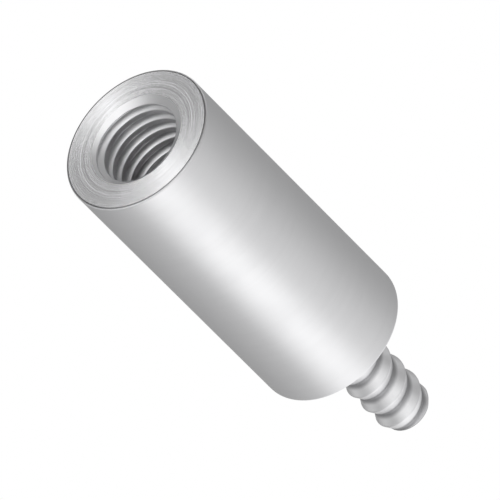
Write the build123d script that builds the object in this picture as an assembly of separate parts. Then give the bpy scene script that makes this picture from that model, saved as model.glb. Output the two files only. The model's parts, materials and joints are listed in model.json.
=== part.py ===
from build123d import *
import math
import os

# Round male-female standoff, turned and threaded from one aluminium bar.
# Millimetres. It stands on its female face at z = 0, and +Z runs along its axis to the stud's tip.

# body
body_diameter = 8.0
body_length = 18.0
edge_break = 0.1  # 45 degree break on both outer edges

# female end, M5 x 0.8
tap_major_diameter = 5.0
tap_drill_diameter = 4.3
tap_pitch = 0.8
tap_flank_angle = 60.0  # between the two flanks of a groove
tap_crest_flat = 0.1  # flat on the tap's own crest, which leaves a flat thread root
tap_start_angle = 260.0  # turns the thread about the axis
tapped_depth = 8.0
tap_lead = 1.6  # the tap tapers over this length, so the innermost turns fade out
drilled_depth = 10.6  # down to where the drill's point begins
drill_point_angle = 118.0
countersink_diameter = 5.1
countersink_angle = 120.0

# male end, a 3 mm stud with a coarse, shallow thread
shank_diameter = 3.0
shank_length = 1.6  # plain, next to the shoulder
shank_runout = 0.25  # cone from the plain shank down to the thread's root
stud_length = 7.5
stud_major_diameter = 2.98
stud_root_diameter = 2.46
stud_pitch = 1.4
stud_crest_flat = 0.06
stud_root_flat = 0.1
stud_start_angle = 290.0  # turns the thread about the axis
tip_diameter = 2.4
tip_chamfer = 0.5  # measured along the axis

# construction
tap_sink = 0.1  # how far the tap's ridge reaches inward past the drilled wall
stud_sink = 0.015  # how far the stud's ridge reaches inward past the thread's root
spare = 1.0  # how far a cutter runs past the face that it cuts

body_radius = body_diameter / 2
drill_radius = tap_drill_diameter / 2
tap_radius = tap_major_diameter / 2
countersink_radius = countersink_diameter / 2
shank_radius = shank_diameter / 2
stud_radius = stud_major_diameter / 2
root_radius = stud_root_diameter / 2
tip_radius = tip_diameter / 2
shank_top = body_length + shank_length
tip_height = body_length + stud_length


def turned(*points):
    """A solid turned about the Z axis from an outline of (radius, height) points."""
    outline = Polyline([(radius, 0, height) for radius, height in points], close=True)
    return revolve(make_face(outline), Axis.Z)


def thread_turns(wall_radius, crest_radius, base_width, crest_width, sink, pitch, bottom, top, start_angle):
    """The turns of a right-hand helical ridge on a round wall, one solid each.

    base_width is the ridge's width at the wall, and its flanks run on inward past the wall by sink.
    """
    slope = (base_width - crest_width) / 2 / (crest_radius - wall_radius)
    foot_radius = wall_radius - sink
    foot_width = base_width + 2 * sink * slope
    section = Polyline(
        (foot_radius, 0, -foot_width / 2),
        (crest_radius, 0, -crest_width / 2),
        (crest_radius, 0, crest_width / 2),
        (foot_radius, 0, foot_width / 2),
        close=True,
    )
    turn = sweep(make_face(section), path=Edge.make_helix(pitch, pitch, foot_radius), is_frenet=True)
    count = math.ceil((top - bottom) / pitch)
    return [Pos(0, 0, bottom + index * pitch) * Rot(0, 0, start_angle) * turn for index in range(count)]


def body_blank():
    return turned(
        (0, 0),
        (body_radius - edge_break, 0),
        (body_radius, edge_break),
        (body_radius, body_length - edge_break),
        (body_radius - edge_break, body_length),
        (0, body_length),
    )


def drill():
    point_length = drill_radius / math.tan(math.radians(drill_point_angle / 2))
    return turned(
        (0, -spare),
        (drill_radius, -spare),
        (drill_radius, drilled_depth),
        (0, drilled_depth + point_length),
    )


def countersink():
    slope = math.tan(math.radians(countersink_angle / 2))
    return turned(
        (0, -spare),
        (countersink_radius + spare * slope, -spare),
        (0, countersink_radius / slope),
    )


def tap():
    """The turns of the female thread's groove, tapered at the inner end like the tap that cuts it."""
    half_slope = math.tan(math.radians(tap_flank_angle / 2))
    base_width = tap_crest_flat + 2 * (tap_radius - drill_radius) * half_slope
    turns = thread_turns(
        drill_radius, tap_radius, base_width, tap_crest_flat, tap_sink,
        tap_pitch, -tap_pitch, tapped_depth, tap_start_angle,
    )
    taper = (tap_radius - drill_radius) / tap_lead
    tap_body = turned(
        (0, -2 * tap_pitch),
        (tap_radius + tap_sink, -2 * tap_pitch),
        (tap_radius + tap_sink, tapped_depth - tap_lead - tap_sink / taper),
        (0, tapped_depth + drill_radius / taper),
    )
    return [turn & tap_body for turn in turns]


def tip_cutter():
    """What a chamfering tool takes off the stud's tip, with all that lies past the tip."""
    slope = (shank_radius - tip_radius) / tip_chamfer
    cut_top = tip_height + 2 * stud_pitch
    return turned(
        (0, tip_height),
        (tip_radius, tip_height),
        (tip_radius + (tip_chamfer + spare) * slope, tip_height - tip_chamfer - spare),
        (tip_radius + (tip_chamfer + spare) * slope, cut_top),
        (0, cut_top),
    )


def stud():
    core = turned(
        (0, body_length - spare),
        (shank_radius, body_length - spare),
        (shank_radius, shank_top),
        (root_radius, shank_top + shank_runout),
        (root_radius, tip_height + spare),
        (0, tip_height + spare),
    )
    turns = thread_turns(
        root_radius, stud_radius, stud_pitch - stud_root_flat, stud_crest_flat, stud_sink,
        stud_pitch, shank_top - stud_pitch / 2, tip_height + stud_pitch / 2, stud_start_angle,
    )
    return core + turns - tip_cutter()


def standoff():
    female_end = body_blank() - tap() - drill() - countersink()
    return female_end + stud()


os.makedirs("parts", exist_ok=True)
export_step(standoff(), "parts/standoff.step")
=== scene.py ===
import json
import math
import bmesh
import bpy
from mathutils import Matrix, Vector


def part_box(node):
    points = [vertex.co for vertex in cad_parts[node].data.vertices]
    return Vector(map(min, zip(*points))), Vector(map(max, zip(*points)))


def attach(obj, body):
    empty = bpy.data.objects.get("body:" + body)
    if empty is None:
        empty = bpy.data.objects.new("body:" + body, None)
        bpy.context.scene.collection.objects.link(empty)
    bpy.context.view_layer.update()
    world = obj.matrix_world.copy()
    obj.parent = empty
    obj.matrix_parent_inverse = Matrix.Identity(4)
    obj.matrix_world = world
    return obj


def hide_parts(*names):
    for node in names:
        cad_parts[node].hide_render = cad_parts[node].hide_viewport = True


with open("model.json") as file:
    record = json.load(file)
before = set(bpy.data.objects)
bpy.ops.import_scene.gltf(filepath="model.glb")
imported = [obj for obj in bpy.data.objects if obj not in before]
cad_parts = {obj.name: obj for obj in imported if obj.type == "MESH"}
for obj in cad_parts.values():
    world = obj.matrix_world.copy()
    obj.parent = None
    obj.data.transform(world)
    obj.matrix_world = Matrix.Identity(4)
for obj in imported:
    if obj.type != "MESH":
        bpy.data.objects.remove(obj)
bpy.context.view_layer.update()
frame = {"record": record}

mm = 0.001
weld = 0.002 * mm  # points nearer than this become one
low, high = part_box("standoff")
mounts = {mount["name"]: mount for mount in frame["record"]["mounts"]}


def addNode(tree, kind, **settings):
    node = tree.nodes.new(kind)
    for name, value in settings.items():
        setattr(node, name, value)
    return node


def plug(tree, source, target):  # a socket is linked, a number is set
    if isinstance(source, bpy.types.NodeSocket):
        tree.links.new(source, target)
    else:
        target.default_value = source


def calc(tree, operation, *values, clamp=False):
    node = addNode(tree, "ShaderNodeMath", operation=operation, use_clamp=clamp)
    for socket, value in zip(node.inputs, values):
        plug(tree, value, socket)
    return node.outputs[0]


def fade(tree, value, start, end):  # 0 up to start and 1 past end, with soft ends
    node = addNode(tree, "ShaderNodeMapRange", interpolation_type="SMOOTHSTEP")
    for label, source in (("Value", value), ("From Min", start), ("From Max", end)):
        plug(tree, source, node.inputs[label])
    return node.outputs["Result"]


def newGroup(name, kind, inputs, outputs):
    tree = bpy.data.node_groups.new(name, kind)
    for label, socketKind, value in inputs:
        socket = tree.interface.new_socket(name=label, in_out="INPUT", socket_type=socketKind)
        if value is not None:
            socket.default_value = value
    for label, socketKind in outputs:
        tree.interface.new_socket(name=label, in_out="OUTPUT", socket_type=socketKind)
    return tree, addNode(tree, "NodeGroupInput").outputs, addNode(tree, "NodeGroupOutput").inputs


# Sizes are in metres, and come from the solid and its fixing points where they can.
bar = {
    "radius": (high.x - low.x) / 2,
    "bottom": low.z,
    "shoulder": mounts["stud_shoulder"]["pos_m"][2],
    "edgeBreak": 0.1 * mm,
    "edgeSteps": 5,
    "columns": 120,  # facets round the axis, the same for every stretch so that they join
    "faceMargin": 0.04 * mm,  # a ring this near each edge of a plain stretch keeps its shading even
    "sideMargin": 0.05 * mm,
    "faceRings": 4,
    "sideRings": 12,
    "wallRings": 3,
    "centreRadius": 0.1 * mm,  # the last ring before a closed centre
}
bore = {
    "radius": mounts["female_thread"]["dims"]["r_mm"] * mm,
    "mouthRadius": 2.55 * mm,
    "mouthAngle": 120,
    "grooveRadius": 2.5 * mm,
    "grooveFlat": 0.1 * mm,
    "flankAngle": 60,
    "pitch": 0.8 * mm,
    "startAngle": 260,
    "crestAtStart": 0.0,
    "depth": 8.0 * mm,
    "lead": 1.6 * mm,
    "drilled": 10.6 * mm,
    "pointAngle": 118,
    "rowsPerTurn": 32,
}
stud = {
    "radius": mounts["stud_shank"]["dims"]["r_mm"] * mm,
    "crestRadius": 1.49 * mm,
    "rootRadius": 1.23 * mm,
    "crestFlat": 0.06 * mm,
    "rootFlat": 0.1 * mm,
    "pitch": 1.4 * mm,
    "startAngle": 290,
    "crestAtStart": 18.9 * mm,
    "shank": mounts["stud_shank"]["dims"]["length_mm"] * mm,
    "runout": 0.25 * mm,
    "tip": high.z,
    "tipRadius": 1.2 * mm,
    "tipChamfer": 0.5 * mm,
    "rowsPerTurn": 28,
}
print("sizes read")


# One tree makes both threads. A grid is rolled round the axis with its rows along the helix, so the
# crests stay crisp. Each point's radius follows the thread's section, then the cones at its two ends.
threadInputs = [
    "First Row", "Row Step", "Bottom", "Top", "Pitch", "Crest Height",
    "Wall Radius", "Crest Radius", "Crest Flat", "Flank Slope",
    "Lead Start", "Lead Slope", "Mouth Radius", "Mouth Slope",
    "Tip Radius", "Tip Start", "Tip Slope",
]


def makeThreadTree():
    inputs = [(label, "NodeSocketFloat", 0.0) for label in threadInputs]
    inputs += [("Rows", "NodeSocketInt", 10), ("Columns", "NodeSocketInt", 12)]
    inputs += [("Metal", "NodeSocketMaterial", None)]
    outputs = [("Geometry", "NodeSocketGeometry")]
    tree, given, result = newGroup("threadedWall", "GeometryNodeTree", inputs, outputs)

    def do(operation, *values):
        return calc(tree, operation, *values)

    grid = addNode(tree, "GeometryNodeMeshGrid")
    tree.links.new(do("ADD", given["Columns"], 1.0), grid.inputs["Vertices X"])
    tree.links.new(do("ADD", given["Rows"], 1.0), grid.inputs["Vertices Y"])
    place = addNode(tree, "ShaderNodeSeparateXYZ")
    tree.links.new(addNode(tree, "GeometryNodeInputPosition").outputs[0], place.inputs[0])
    around = do("ADD", place.outputs["X"], 0.5)  # 0 to 1 once round the axis
    row = do("MULTIPLY", do("ADD", place.outputs["Y"], 0.5), given["Rows"])

    climb = do("MULTIPLY", around, given["Pitch"])
    height = do("ADD", do("MULTIPLY_ADD", row, given["Row Step"], given["First Row"]), climb)
    height = do("MINIMUM", do("MAXIMUM", height, given["Bottom"]), given["Top"])

    # distance along the axis from the nearest crest
    above = do("SUBTRACT", do("SUBTRACT", height, climb), given["Crest Height"])
    turns = do("DIVIDE", above, given["Pitch"])
    off = do("ABSOLUTE", do("SUBTRACT", do("FRACT", do("ADD", turns, 0.5)), 0.5))
    off = do("SUBTRACT", do("MULTIPLY", off, given["Pitch"]), do("MULTIPLY", given["Crest Flat"], 0.5))
    drop = do("MULTIPLY", do("MAXIMUM", off, 0.0), given["Flank Slope"])
    ridge = do("SUBTRACT", given["Crest Radius"], drop)

    def cone(radius, start, slope):
        past = do("MAXIMUM", do("SUBTRACT", height, given[start]), 0.0)
        return do("SUBTRACT", given[radius], do("MULTIPLY", past, given[slope]))

    ridge = do("MINIMUM", ridge, cone("Crest Radius", "Lead Start", "Lead Slope"))
    radius = do("MAXIMUM", ridge, given["Wall Radius"])
    radius = do("MAXIMUM", radius, cone("Mouth Radius", "Bottom", "Mouth Slope"))
    radius = do("MINIMUM", radius, cone("Tip Radius", "Tip Start", "Tip Slope"))

    angle = do("MULTIPLY", around, math.tau)
    spot = addNode(tree, "ShaderNodeCombineXYZ")
    tree.links.new(do("MULTIPLY", radius, do("COSINE", angle)), spot.inputs["X"])
    tree.links.new(do("MULTIPLY", radius, do("SINE", angle)), spot.inputs["Y"])
    tree.links.new(height, spot.inputs["Z"])
    roll = addNode(tree, "GeometryNodeSetPosition")
    tree.links.new(grid.outputs["Mesh"], roll.inputs["Geometry"])
    tree.links.new(spot.outputs[0], roll.inputs["Position"])
    merge = addNode(tree, "GeometryNodeMergeByDistance")
    merge.inputs["Distance"].default_value = weld
    tree.links.new(roll.outputs[0], merge.inputs["Geometry"])
    realize = addNode(tree, "GeometryNodeRealizeInstances")
    tree.links.new(merge.outputs[0], realize.inputs[0])
    metal = addNode(tree, "GeometryNodeSetMaterial")
    tree.links.new(realize.outputs[0], metal.inputs["Geometry"])
    tree.links.new(given["Metal"], metal.inputs["Material"])
    tree.links.new(metal.outputs[0], result["Geometry"])
    return tree


def plainMesh(name, tree, values):  # the tree's result, with no modifier left
    holder = bpy.data.objects.new(name, bpy.data.meshes.new(name))
    bpy.context.scene.collection.objects.link(holder)
    modifier = holder.modifiers.new(name, "NODES")
    modifier.node_group = tree
    for item in tree.interface.items_tree:
        if item.in_out == "INPUT":
            modifier[item.identifier] = values[item.name]
    evaluated = holder.evaluated_get(bpy.context.evaluated_depsgraph_get())
    mesh = bpy.data.meshes.new_from_object(evaluated)
    bpy.data.objects.remove(holder)
    return mesh


def threadedWall(name, tree, thread, metal, bottom, top, values):
    step = thread["pitch"] / thread["rowsPerTurn"]
    # the height at which the thread's crest crosses the X axis
    crest = thread["crestAtStart"] - thread["startAngle"] / 360 * thread["pitch"]
    first = crest + math.floor((bottom - thread["pitch"] - crest) / step) * step
    common = {
        "First Row": first, "Row Step": step, "Rows": math.ceil((top - first) / step) + 1,
        "Bottom": bottom, "Top": top, "Pitch": thread["pitch"], "Crest Height": crest,
        "Columns": bar["columns"], "Metal": metal,
    }
    return plainMesh(name, tree, {**common, **values})


def boreWall(tree, metal):
    flankSlope = 1 / math.tan(math.radians(bore["flankAngle"] / 2))
    return threadedWall("boreWall", tree, bore, metal, bar["bottom"], bore["depth"], {
        "Wall Radius": bore["radius"],
        "Crest Radius": bore["grooveRadius"],
        "Crest Flat": bore["grooveFlat"],
        "Flank Slope": flankSlope,
        "Lead Start": bore["depth"] - bore["lead"],
        "Lead Slope": (bore["grooveRadius"] - bore["radius"]) / bore["lead"],
        "Mouth Radius": bore["mouthRadius"],
        "Mouth Slope": math.tan(math.radians(bore["mouthAngle"] / 2)),
        "Tip Radius": bar["radius"],
        "Tip Start": bar["shoulder"],
        "Tip Slope": 0.0,
    })


def studWall(tree, metal):
    flank = (stud["pitch"] - stud["rootFlat"] - stud["crestFlat"]) / 2
    shankEnd = bar["shoulder"] + stud["shank"]
    return threadedWall("studWall", tree, stud, metal, shankEnd, stud["tip"], {
        "Wall Radius": stud["rootRadius"],
        "Crest Radius": stud["crestRadius"],
        "Crest Flat": stud["crestFlat"],
        "Flank Slope": (stud["crestRadius"] - stud["rootRadius"]) / flank,
        "Lead Start": stud["tip"],
        "Lead Slope": 0.0,
        "Mouth Radius": stud["radius"],
        "Mouth Slope": (stud["radius"] - stud["rootRadius"]) / stud["runout"],
        "Tip Radius": stud["radius"],
        "Tip Start": stud["tip"] - stud["tipChamfer"],
        "Tip Slope": (stud["radius"] - stud["tipRadius"]) / stud["tipChamfer"],
    })


def roundedEdge(radius, height, outward):  # the broken edge of the bar, from its face to its side
    size, steps = bar["edgeBreak"], bar["edgeSteps"]
    arc = []
    for i in range(steps + 1):
        turn = math.pi / 2 * i / steps
        across = radius - size + size * math.sin(turn)
        arc.append((across, height + outward * size * (1 - math.cos(turn))))
    return arc


def between(start, end, count, margin=bar["faceMargin"]):  # points along a straight run
    run = math.dist(start, end)
    shares = [0.0, margin / run] + [i / count for i in range(1, count)] + [1 - margin / run, 1.0]
    return [(start[0] + (end[0] - start[0]) * t, start[1] + (end[1] - start[1]) * t) for t in shares]


def turnedMesh(name, outline, metal, columns=bar["columns"]):  # an outline of radius and height, turned
    shape = bmesh.new()
    rings = []
    for radius, height in outline:
        if radius == 0:
            rings.append([shape.verts.new((0, 0, height))])
            continue
        ring = []
        for i in range(columns):
            turn = math.tau * i / columns
            ring.append(shape.verts.new((radius * math.cos(turn), radius * math.sin(turn), height)))
        rings.append(ring)
    for lower, upper in zip(rings, rings[1:]):
        for i in range(columns):
            j = (i + 1) % columns
            corners = [lower[i % len(lower)], lower[j % len(lower)]]
            corners += [upper[j % len(upper)], upper[i % len(upper)]]
            shape.faces.new(list(dict.fromkeys(corners)))  # a centre point counts once
    mesh = bpy.data.meshes.new(name)
    shape.to_mesh(mesh)
    shape.free()
    mesh.materials.append(metal)
    return mesh


def barSide(metal):
    bottomEdge = roundedEdge(bar["radius"], bar["bottom"], 1)
    topEdge = roundedEdge(bar["radius"], bar["shoulder"], -1)[::-1]
    side = between(bottomEdge[-1], topEdge[0], bar["sideRings"], bar["sideMargin"])
    return turnedMesh("barSide", bottomEdge + side[1:-1] + topEdge, metal)


def barEnds(faceMetal, shoulderMetal):
    inner = bar["radius"] - bar["edgeBreak"]
    face = between((bore["mouthRadius"], bar["bottom"]), (inner, bar["bottom"]), bar["faceRings"])
    shoulder = between((inner, bar["shoulder"]), (stud["radius"], bar["shoulder"]), bar["faceRings"])
    tip = between((stud["tipRadius"], stud["tip"]), (bar["centreRadius"], stud["tip"]), bar["faceRings"])
    tip.append((0, stud["tip"]))
    return [
        turnedMesh("face", face, faceMetal),
        turnedMesh("shoulder", shoulder, shoulderMetal),
        turnedMesh("tip", tip, shoulderMetal),
    ]


def shankWall(metal):
    shankEnd = bar["shoulder"] + stud["shank"]
    line = between((stud["radius"], bar["shoulder"]), (stud["radius"], shankEnd), bar["faceRings"])
    return turnedMesh("shank", line, metal)


def drilledWall(metal):  # the drilled hole past the thread, with the point that the drill leaves
    slope = math.tan(math.radians(bore["pointAngle"] / 2))
    apex = bore["drilled"] + bore["radius"] / slope
    corner = (bore["radius"], bore["drilled"])
    wall = between((bore["radius"], bore["depth"]), corner, bar["wallRings"])
    point = between(corner, (bar["centreRadius"], apex - bar["centreRadius"] / slope), bar["faceRings"])
    return turnedMesh("drilledWall", wall + point[1:] + [(0, apex)], metal)


def joined(name, meshes, crispRings):  # one closed mesh, with each part's material kept
    shape = bmesh.new()
    metals = []
    for mesh in meshes:
        metal = mesh.materials[-1]  # the tree's own mesh has an empty slot first
        if metal not in metals:
            metals.append(metal)
        first = len(shape.faces)
        shape.from_mesh(mesh)
        shape.faces.ensure_lookup_table()
        for face in shape.faces[first:]:
            face.material_index = metals.index(metal)
            face.smooth = True
        bpy.data.meshes.remove(mesh)
    bmesh.ops.remove_doubles(shape, verts=shape.verts, dist=weld)
    bmesh.ops.recalc_face_normals(shape, faces=shape.faces)
    for radius, height in crispRings:
        level = [vert for vert in shape.verts if abs(vert.co.z - height) < weld / 2]
        corner = {vert for vert in level if abs(vert.co.xy.length - radius) < weld * 1.5}
        for edge in shape.edges:
            if edge.verts[0] in corner and edge.verts[1] in corner:
                edge.smooth = False
    openEdges = sum(1 for edge in shape.edges if not edge.is_manifold)
    triangles = sum(len(face.verts) - 2 for face in shape.faces)
    volume = shape.calc_volume() / mm ** 3
    result = bpy.data.meshes.new(name)
    shape.to_mesh(result)
    shape.free()
    for metal in metals:
        result.materials.append(metal)
    piece = bpy.data.objects.new(name, result)
    bpy.context.scene.collection.objects.link(piece)
    print(f"{name}: {triangles} triangles, {openEdges} open edges, {volume:.1f} mm3")
    return piece


markNoise = {  # scale, in spacings along the cut, and detail
    "fine": (3.1, 1.0),
    "wave": (0.13, 2.0),
    "band": (0.12, 1.0),
}
handled = {"low": 0.42, "high": 0.68, "detail": 3.0, "stain": 0.05}
markFilter = 0.01  # small, so that the finest marks keep their own direction


# The groups put out masks and heights only, so that each metal uses them with its own values.
def makeTurningMarks():
    tree, given, result = newGroup("turningMarks", "ShaderNodeTree", [
        ("Spacing", "NodeSocketFloat", 0.1 * mm),
        ("Waves", "NodeSocketFloat", 3.0),
        ("Shift", "NodeSocketFloat", 0.0),
    ], [("Height", "NodeSocketFloat"), ("Bands", "NodeSocketFloat")])
    split = addNode(tree, "ShaderNodeSeparateXYZ")
    tree.links.new(addNode(tree, "ShaderNodeTexCoord").outputs["Object"], split.inputs[0])
    x, y, z = split.outputs
    squares = calc(tree, "MULTIPLY_ADD", x, x, calc(tree, "MULTIPLY", y, y))
    radius = calc(tree, "SQRT", squares)
    # grows along every turned surface
    path = calc(tree, "ADD", calc(tree, "ADD", radius, z), given["Shift"])
    coarse = calc(tree, "DIVIDE", path, given["Spacing"])

    def rings(kind):
        scale, detail = markNoise[kind]
        noise = addNode(tree, "ShaderNodeTexNoise", noise_dimensions="1D")
        noise.inputs["Scale"].default_value = scale
        noise.inputs["Detail"].default_value = detail
        tree.links.new(coarse, noise.inputs["W"])
        return noise.outputs["Fac"]

    fine = rings("fine")
    wave = rings("wave")
    tree.links.new(calc(tree, "MULTIPLY_ADD", wave, given["Waves"], fine), result["Height"])
    tree.links.new(rings("band"), result["Bands"])
    return tree


def makeHandling():
    tree, given, result = newGroup("handling", "ShaderNodeTree", [
        ("Size", "NodeSocketFloat", 3 * mm),
        ("Low", "NodeSocketFloat", handled["low"]),
        ("High", "NodeSocketFloat", handled["high"]),
    ], [("Mask", "NodeSocketFloat")])
    place = addNode(tree, "ShaderNodeVectorMath", operation="SCALE")
    tree.links.new(addNode(tree, "ShaderNodeTexCoord").outputs["Object"], place.inputs[0])
    tree.links.new(calc(tree, "DIVIDE", 1.0, given["Size"]), place.inputs["Scale"])
    noise = addNode(tree, "ShaderNodeTexNoise")
    noise.inputs["Scale"].default_value = 1.0
    noise.inputs["Detail"].default_value = handled["detail"]
    tree.links.new(place.outputs[0], noise.inputs["Vector"])
    tree.links.new(fade(tree, noise.outputs["Fac"], given["Low"], given["High"]), result["Mask"])
    return tree


def makeRadiusMask():
    tree, given, result = newGroup("radiusMask", "ShaderNodeTree", [
        ("From Radius", "NodeSocketFloat", 1 * mm),
        ("To Radius", "NodeSocketFloat", 2 * mm),
    ], [("Mask", "NodeSocketFloat")])
    flat = addNode(tree, "ShaderNodeVectorMath", operation="MULTIPLY")
    flat.inputs[1].default_value = (1, 1, 0)
    tree.links.new(addNode(tree, "ShaderNodeTexCoord").outputs["Object"], flat.inputs[0])
    length = addNode(tree, "ShaderNodeVectorMath", operation="LENGTH")
    tree.links.new(flat.outputs[0], length.inputs[0])
    mask = fade(tree, length.outputs["Value"], given["From Radius"], given["To Radius"])
    tree.links.new(mask, result["Mask"])
    return tree


groups = {"marks": makeTurningMarks(), "handling": makeHandling(), "radius": makeRadiusMask()}
clean = (0.80, 0.80, 0.81)
boreLitColour = (0.90, 0.90, 0.91)  # lighter than the other metal: painted light that brightens the inside of the hole
stainAndShadeColour = (0.36, 0.36, 0.37)  # darker metal: real stains where handled, and painted shade in the thread's roots
metals = {  # the cut's marks, then how rough it is where clean and where handled
    "turnedSide": {
        "colour": clean,
        "spacing": 0.09 * mm, "waves": 20.0, "shift": 0.0, "depth": 0.0006 * mm,
        "roughness": (0.275, 0.31), "bandRoughness": 0.03, "smudge": 3.5 * mm,
        "rootShade": None,
    },
    "facedEnd": {
        "colour": clean,
        "spacing": 0.05 * mm, "waves": 1.5, "shift": 7 * mm, "depth": 0.009 * mm,
        "roughness": (0.15, 0.18), "bandRoughness": 0.03, "smudge": 2.5 * mm,
        "rootShade": None,
    },
    "shoulderFace": {
        "colour": clean,
        "spacing": 0.05 * mm, "waves": 3.0, "shift": 2 * mm, "depth": 0.003 * mm,
        "roughness": (0.19, 0.23), "bandRoughness": 0.03, "smudge": 2.5 * mm,
        "rootShade": None,
    },
    "boreThread": {
        # a lighter colour than clean: painted light inside the hole
        "colour": boreLitColour,
        "spacing": 0.07 * mm, "waves": 2.0, "shift": 3 * mm, "depth": 0.0008 * mm,
        "roughness": (0.30, 0.36), "bandRoughness": 0.04, "smudge": 1.5 * mm,
        "rootShade": None,
    },
    "studThread": {
        "colour": clean,
        "spacing": 0.07 * mm, "waves": 2.0, "shift": 5 * mm, "depth": 0.0008 * mm,
        "roughness": (0.285, 0.36), "bandRoughness": 0.04, "smudge": 1.5 * mm,
        "rootShade": (1.35 * mm, 1.235 * mm),
    },
}


def groupNode(tree, name, **values):
    node = addNode(tree, "ShaderNodeGroup", node_tree=groups[name])
    for label, value in values.items():
        node.inputs[label].default_value = value
    return node.outputs


def makeMetal(name, look):
    metal = bpy.data.materials.new(name)
    metal.use_nodes = True
    tree = metal.node_tree
    tree.nodes.clear()
    surface = addNode(tree, "ShaderNodeBsdfPrincipled")
    surface.inputs["Metallic"].default_value = 1.0
    output = addNode(tree, "ShaderNodeOutputMaterial")
    tree.links.new(surface.outputs[0], output.inputs["Surface"])

    marks = groupNode(tree, "marks", Spacing=look["spacing"], Waves=look["waves"], Shift=look["shift"])
    smudge = groupNode(tree, "handling", Size=look["smudge"], Low=handled["low"], High=handled["high"])
    stainAndShadeMix = calc(tree, "MULTIPLY", smudge["Mask"], handled["stain"])
    # the thread's roots take the darker colour by radius: painted shade in the recesses
    if look["rootShade"]:
        outer, inner = look["rootShade"]
        root = groupNode(tree, "radius", **{"From Radius": outer, "To Radius": inner})
        stainAndShadeMix = calc(tree, "MAXIMUM", stainAndShadeMix, root["Mask"])
    colour = addNode(tree, "ShaderNodeMix", data_type="RGBA")
    # the colour sockets of a mix node share their names with its float ones
    bright, dark = [socket for socket in colour.inputs if socket.type == "RGBA"]
    mixed = [socket for socket in colour.outputs if socket.type == "RGBA"][0]
    bright.default_value = (*look["colour"], 1)
    dark.default_value = (*stainAndShadeColour, 1)
    tree.links.new(stainAndShadeMix, colour.inputs["Factor"])
    tree.links.new(mixed, surface.inputs["Base Color"])

    smooth, rough = look["roughness"]
    roughness = calc(tree, "MULTIPLY_ADD", smudge["Mask"], rough - smooth, smooth)
    roughness = calc(tree, "MULTIPLY_ADD", marks["Bands"], look["bandRoughness"], roughness)
    tree.links.new(roughness, surface.inputs["Roughness"])

    bump = addNode(tree, "ShaderNodeBump")
    bump.inputs["Distance"].default_value = look["depth"]
    bump.inputs["Filter Width"].default_value = markFilter
    tree.links.new(marks["Height"], bump.inputs["Height"])
    tree.links.new(bump.outputs["Normal"], surface.inputs["Normal"])
    return metal


made = {name: makeMetal(name, look) for name, look in metals.items()}
print("metals mixed")

threadTree = makeThreadTree()
standoff = joined("turnedStandoff", [
    boreWall(threadTree, made["boreThread"]),
    studWall(threadTree, made["studThread"]),
    barSide(made["turnedSide"]),
    *barEnds(made["facedEnd"], made["shoulderFace"]),
    shankWall(made["turnedSide"]),
    drilledWall(made["boreThread"]),
], crispRings=[
    (bore["mouthRadius"], bar["bottom"]),
    (stud["radius"], bar["shoulder"] + stud["shank"]),
    (stud["tipRadius"], stud["tip"]),
])
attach(standoff, "root")
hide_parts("standoff")


view = {
    "below": 47.54,  # degrees from straight below, towards -Y
    "roll": 134.9,
    "distance": 775.5 * mm,
    "lens": 1142.8,
    "sensor": 36,
    "clip": (0.01, 10),
    "aim": Vector((-0.096, 0.0, 10.43)) * mm,
}


def makeCamera():
    tilt, roll = math.radians(view["below"]), math.radians(view["roll"])
    back = Vector((0, -math.sin(tilt), -math.cos(tilt)))
    side = Vector((1, 0, 0))
    up = side.cross(-back)
    right = side * math.cos(roll) + up * math.sin(roll)
    top = up * math.cos(roll) - side * math.sin(roll)
    camera = bpy.data.objects.new("camera", bpy.data.cameras.new("camera"))
    camera.data.lens = view["lens"]
    camera.data.sensor_width = view["sensor"]
    camera.data.clip_start, camera.data.clip_end = view["clip"]
    turn = Matrix((right, top, back)).transposed().to_4x4()
    camera.matrix_world = Matrix.Translation(view["aim"] + back * view["distance"]) @ turn
    bpy.context.scene.collection.objects.link(camera)
    bpy.context.scene.camera = camera


makeCamera()


# Camera and metal have the same white background and the same pale floor. Grey net hangs between them
# and the metal, all round and on the floor, open in soft patches. Only the metal sees it, so the metal
# mirrors less white than the camera sees, and its form reads.
studio = {
    "light": 0.6,  # the background's own light on the floor
    "netGrey": 0.1,
    "netRadius": 500 * mm,
    "netSubdivisions": 4,
    "level": 0.33,  # what the metal sees: 1 is the open background, less is net, and more is a softbox
    "patches": [  # round ones, in degrees about the origin
        {"azimuth": -84, "elevation": 42, "inner": 0, "outer": 105, "level": 0.46},
        {"azimuth": -61, "elevation": 42, "inner": 2, "outer": 38, "level": 0.46},
        {"azimuth": 0, "elevation": 90, "inner": 5, "outer": 50, "level": 0.55},
        {"azimuth": -90, "elevation": -77.5, "inner": 12, "outer": 60, "level": 0.80},
    ],
    "bands": [  # wide ones, near the horizon
        {"azimuth": -88, "elevation": -2, "width": 85, "height": 30, "level": 0.55},
        {"azimuth": 26, "elevation": 6, "width": 52, "height": 34, "level": 0.45},
        {"azimuth": 154, "elevation": 6, "width": 52, "height": 34, "level": 0.40},
    ],
    # a long softbox below, in degrees across, fading at its ends
    "strip": {"inner": 0.5, "outer": 5, "top": (0.2, 0.45), "bottom": (0.97, 0.85), "level": 1.5},
}
floorSize = {
    "hole": 3.88 * mm,  # a little less than the bar, so that no gap shows
    "plain": 45 * mm,
    "edge": 170 * mm,
    "columns": 96,
    "drop": 0.012 * mm,
    "colour": (0.86, 0.86, 0.86),
    "netGap": 0.006 * mm,
    "netCover": 0.66,
    "netOpenings": [(-70, 80, 0.77), (26, 50, 0.36), (152, 60, 0.63)],  # azimuth, width and share
}
lamp = {"azimuth": -100, "elevation": 58, "distance": 0.6, "size": 0.25, "power": 1.8}


def direction(azimuth, elevation):
    a, e = math.radians(azimuth), math.radians(elevation)
    return Vector((math.cos(a) * math.cos(e), math.sin(a) * math.cos(e), math.sin(e)))


def dotWith(tree, vector, fixed):
    node = addNode(tree, "ShaderNodeVectorMath", operation="DOT_PRODUCT")
    tree.links.new(vector, node.inputs[0])
    node.inputs[1].default_value = fixed
    return node.outputs["Value"]


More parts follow.
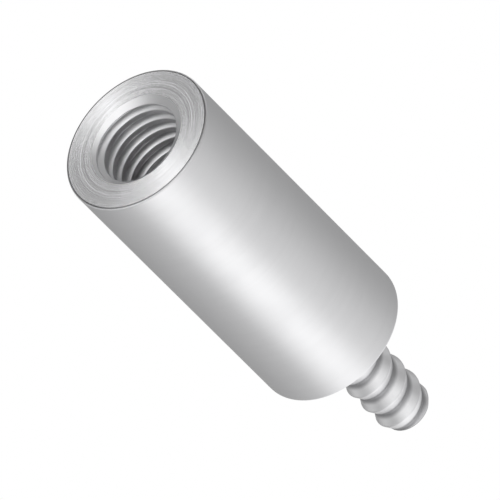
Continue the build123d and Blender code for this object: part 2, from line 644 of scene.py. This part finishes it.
def objectPlace(tree, operation):
    node = addNode(tree, "ShaderNodeVectorMath", operation=operation)
    tree.links.new(addNode(tree, "ShaderNodeTexCoord").outputs["Object"], node.inputs[0])
    return node.outputs["Value" if operation == "LENGTH" else "Vector"]


def joinShaders(tree, kind, *sources):
    node = addNode(tree, kind)
    for socket, source in zip(node.inputs, sources):
        tree.links.new(source, socket)
    return node.outputs[0]


def makeBackground():
    world = bpy.data.worlds.new("background")
    bpy.context.scene.world = world
    world.use_nodes = True
    tree = world.node_tree
    tree.nodes.clear()
    path = addNode(tree, "ShaderNodeLightPath").outputs
    seen = calc(tree, "MAXIMUM", path["Is Camera Ray"], path["Is Glossy Ray"])
    seen = calc(tree, "MAXIMUM", seen, path["Is Transmission Ray"])
    strength = calc(tree, "MULTIPLY_ADD", seen, 1 - studio["light"], studio["light"])
    white = addNode(tree, "ShaderNodeBackground")
    white.inputs["Color"].default_value = (1, 1, 1, 1)
    tree.links.new(strength, white.inputs["Strength"])
    tree.links.new(white.outputs[0], addNode(tree, "ShaderNodeOutputWorld").inputs["Surface"])


def makeNetCloth(name, weave):  # weave gives how much the net covers, and the softboxes behind it
    cloth = bpy.data.materials.new(name)
    cloth.use_nodes = True
    tree = cloth.node_tree
    tree.nodes.clear()
    cover, glow = weave(tree)
    clear = addNode(tree, "ShaderNodeBsdfTransparent").outputs[0]
    grey = addNode(tree, "ShaderNodeEmission")
    grey.inputs["Strength"].default_value = studio["netGrey"]
    softbox = addNode(tree, "ShaderNodeEmission")
    plug(tree, glow, softbox.inputs["Strength"])
    net = joinShaders(tree, "ShaderNodeMixShader", cover, clear, grey.outputs[0])
    net = joinShaders(tree, "ShaderNodeAddShader", net, softbox.outputs[0])
    tree.links.new(net, addNode(tree, "ShaderNodeOutputMaterial").inputs["Surface"])
    return cloth


def setStage(name, mesh, height):
    backdrop = bpy.data.objects.new(name, mesh)
    backdrop.location.z = height
    bpy.context.scene.collection.objects.link(backdrop)
    return backdrop


def hangNet(name, mesh, height):  # only reflections show it
    net = setStage(name, mesh, height)
    net.visible_camera = False
    net.visible_diffuse = False
    net.visible_transmission = False
    net.visible_shadow = False


def weaveTent(tree):
    where = objectPlace(tree, "NORMALIZE")
    level = studio["level"]
    for patch in studio["patches"]:
        middle = direction(patch["azimuth"], patch["elevation"])
        off = calc(tree, "ARCCOSINE", dotWith(tree, where, middle))
        near = fade(tree, off, math.radians(patch["outer"]), math.radians(patch["inner"]))
        level = calc(tree, "MULTIPLY_ADD", near, patch["level"], level)
    rise = calc(tree, "ARCSINE", dotWith(tree, where, (0, 0, 1)))
    for band in studio["bands"]:
        ahead = dotWith(tree, where, direction(band["azimuth"], 0))
        aside = dotWith(tree, where, direction(band["azimuth"] + 90, 0))
        offAzimuth = calc(tree, "ARCTAN2", aside, ahead)
        offAzimuth = calc(tree, "DIVIDE", offAzimuth, math.radians(band["width"]))
        offRise = calc(tree, "SUBTRACT", rise, math.radians(band["elevation"]))
        offRise = calc(tree, "DIVIDE", offRise, math.radians(band["height"]))
        squares = calc(tree, "MULTIPLY", offRise, offRise)
        squares = calc(tree, "MULTIPLY_ADD", offAzimuth, offAzimuth, squares)
        near = fade(tree, calc(tree, "SQRT", squares), 1.0, 0.0)
        level = calc(tree, "MULTIPLY_ADD", near, band["level"], level)
    strip = studio["strip"]
    across = calc(tree, "ABSOLUTE", dotWith(tree, where, (1, 0, 0)))
    down = dotWith(tree, where, (0, 0, -1))
    outer, inner = [math.sin(math.radians(strip[edge])) for edge in ("outer", "inner")]
    line = fade(tree, across, outer, inner)
    ends = calc(tree, "MULTIPLY", fade(tree, down, *strip["top"]), fade(tree, down, *strip["bottom"]))
    line = calc(tree, "MULTIPLY", calc(tree, "MULTIPLY", line, ends), strip["level"])
    cover = calc(tree, "DIVIDE", calc(tree, "SUBTRACT", 1.0, level), 1 - studio["netGrey"], clamp=True)
    spare = calc(tree, "MAXIMUM", calc(tree, "SUBTRACT", level, 1.0), 0.0)
    return cover, calc(tree, "ADD", line, spare)


def floorFade(tree):  # 0 on the plain floor, 1 at its rim
    return fade(tree, objectPlace(tree, "LENGTH"), floorSize["plain"], floorSize["edge"])


def weaveMat(tree):
    where = objectPlace(tree, "NORMALIZE")
    cover = floorSize["netCover"]
    for azimuth, width, share in floorSize["netOpenings"]:
        off = calc(tree, "ARCCOSINE", dotWith(tree, where, direction(azimuth, 0)))
        cover = calc(tree, "MULTIPLY_ADD", fade(tree, off, math.radians(width), 0.0), -share, cover)
    cover = calc(tree, "MAXIMUM", cover, 0.0)
    return calc(tree, "MULTIPLY", cover, calc(tree, "SUBTRACT", 1.0, floorFade(tree))), 0.0


def floorMesh(name, cloth):  # a flat disc with a hole, facing up
    outline = [(floorSize[edge], 0) for edge in ("edge", "plain", "hole")]
    return turnedMesh(name, outline, cloth, floorSize["columns"])


def makeNets():
    shape = bmesh.new()
    bmesh.ops.create_icosphere(shape, subdivisions=studio["netSubdivisions"], radius=studio["netRadius"])
    tent = bpy.data.meshes.new("tentNet")
    shape.to_mesh(tent)
    shape.free()
    tent.materials.append(makeNetCloth("tentNet", weaveTent))
    hangNet("tentNet", tent, 0.0)
    mat = floorMesh("floorNet", makeNetCloth("floorNet", weaveMat))
    hangNet("floorNet", mat, bar["bottom"] - floorSize["drop"] + floorSize["netGap"])


def makeFloor():  # see-through from below, so that the standing part's lower face can be seen
    paper = bpy.data.materials.new("paleFloor")
    paper.use_nodes = True
    tree = paper.node_tree
    tree.nodes.clear()
    matte = addNode(tree, "ShaderNodeBsdfDiffuse")
    matte.inputs["Color"].default_value = (*floorSize["colour"], 1)
    clear = addNode(tree, "ShaderNodeBsdfTransparent").outputs[0]
    rim = joinShaders(tree, "ShaderNodeMixShader", floorFade(tree), matte.outputs[0], clear)
    fromBelow = addNode(tree, "ShaderNodeNewGeometry").outputs["Backfacing"]
    shown = joinShaders(tree, "ShaderNodeMixShader", fromBelow, rim, clear)
    tree.links.new(shown, addNode(tree, "ShaderNodeOutputMaterial").inputs["Surface"])
    setStage("floor", floorMesh("floor", paper), bar["bottom"] - floorSize["drop"])


def makeLamp():
    light = bpy.data.lights.new("softbox", "AREA")
    light.size, light.energy = lamp["size"], lamp["power"]
    softbox = bpy.data.objects.new("softbox", light)
    away = direction(lamp["azimuth"], lamp["elevation"])
    softbox.location = away * lamp["distance"]
    softbox.rotation_euler = away.to_track_quat("Z", "Y").to_euler()
    softbox.visible_glossy = False  # it lights the floor, and the net's own softboxes show in the metal
    bpy.context.scene.collection.objects.link(softbox)


makeBackground()
makeNets()
makeFloor()
makeLamp()
bpy.context.scene.view_settings.view_transform = "Standard"
print("studio set")
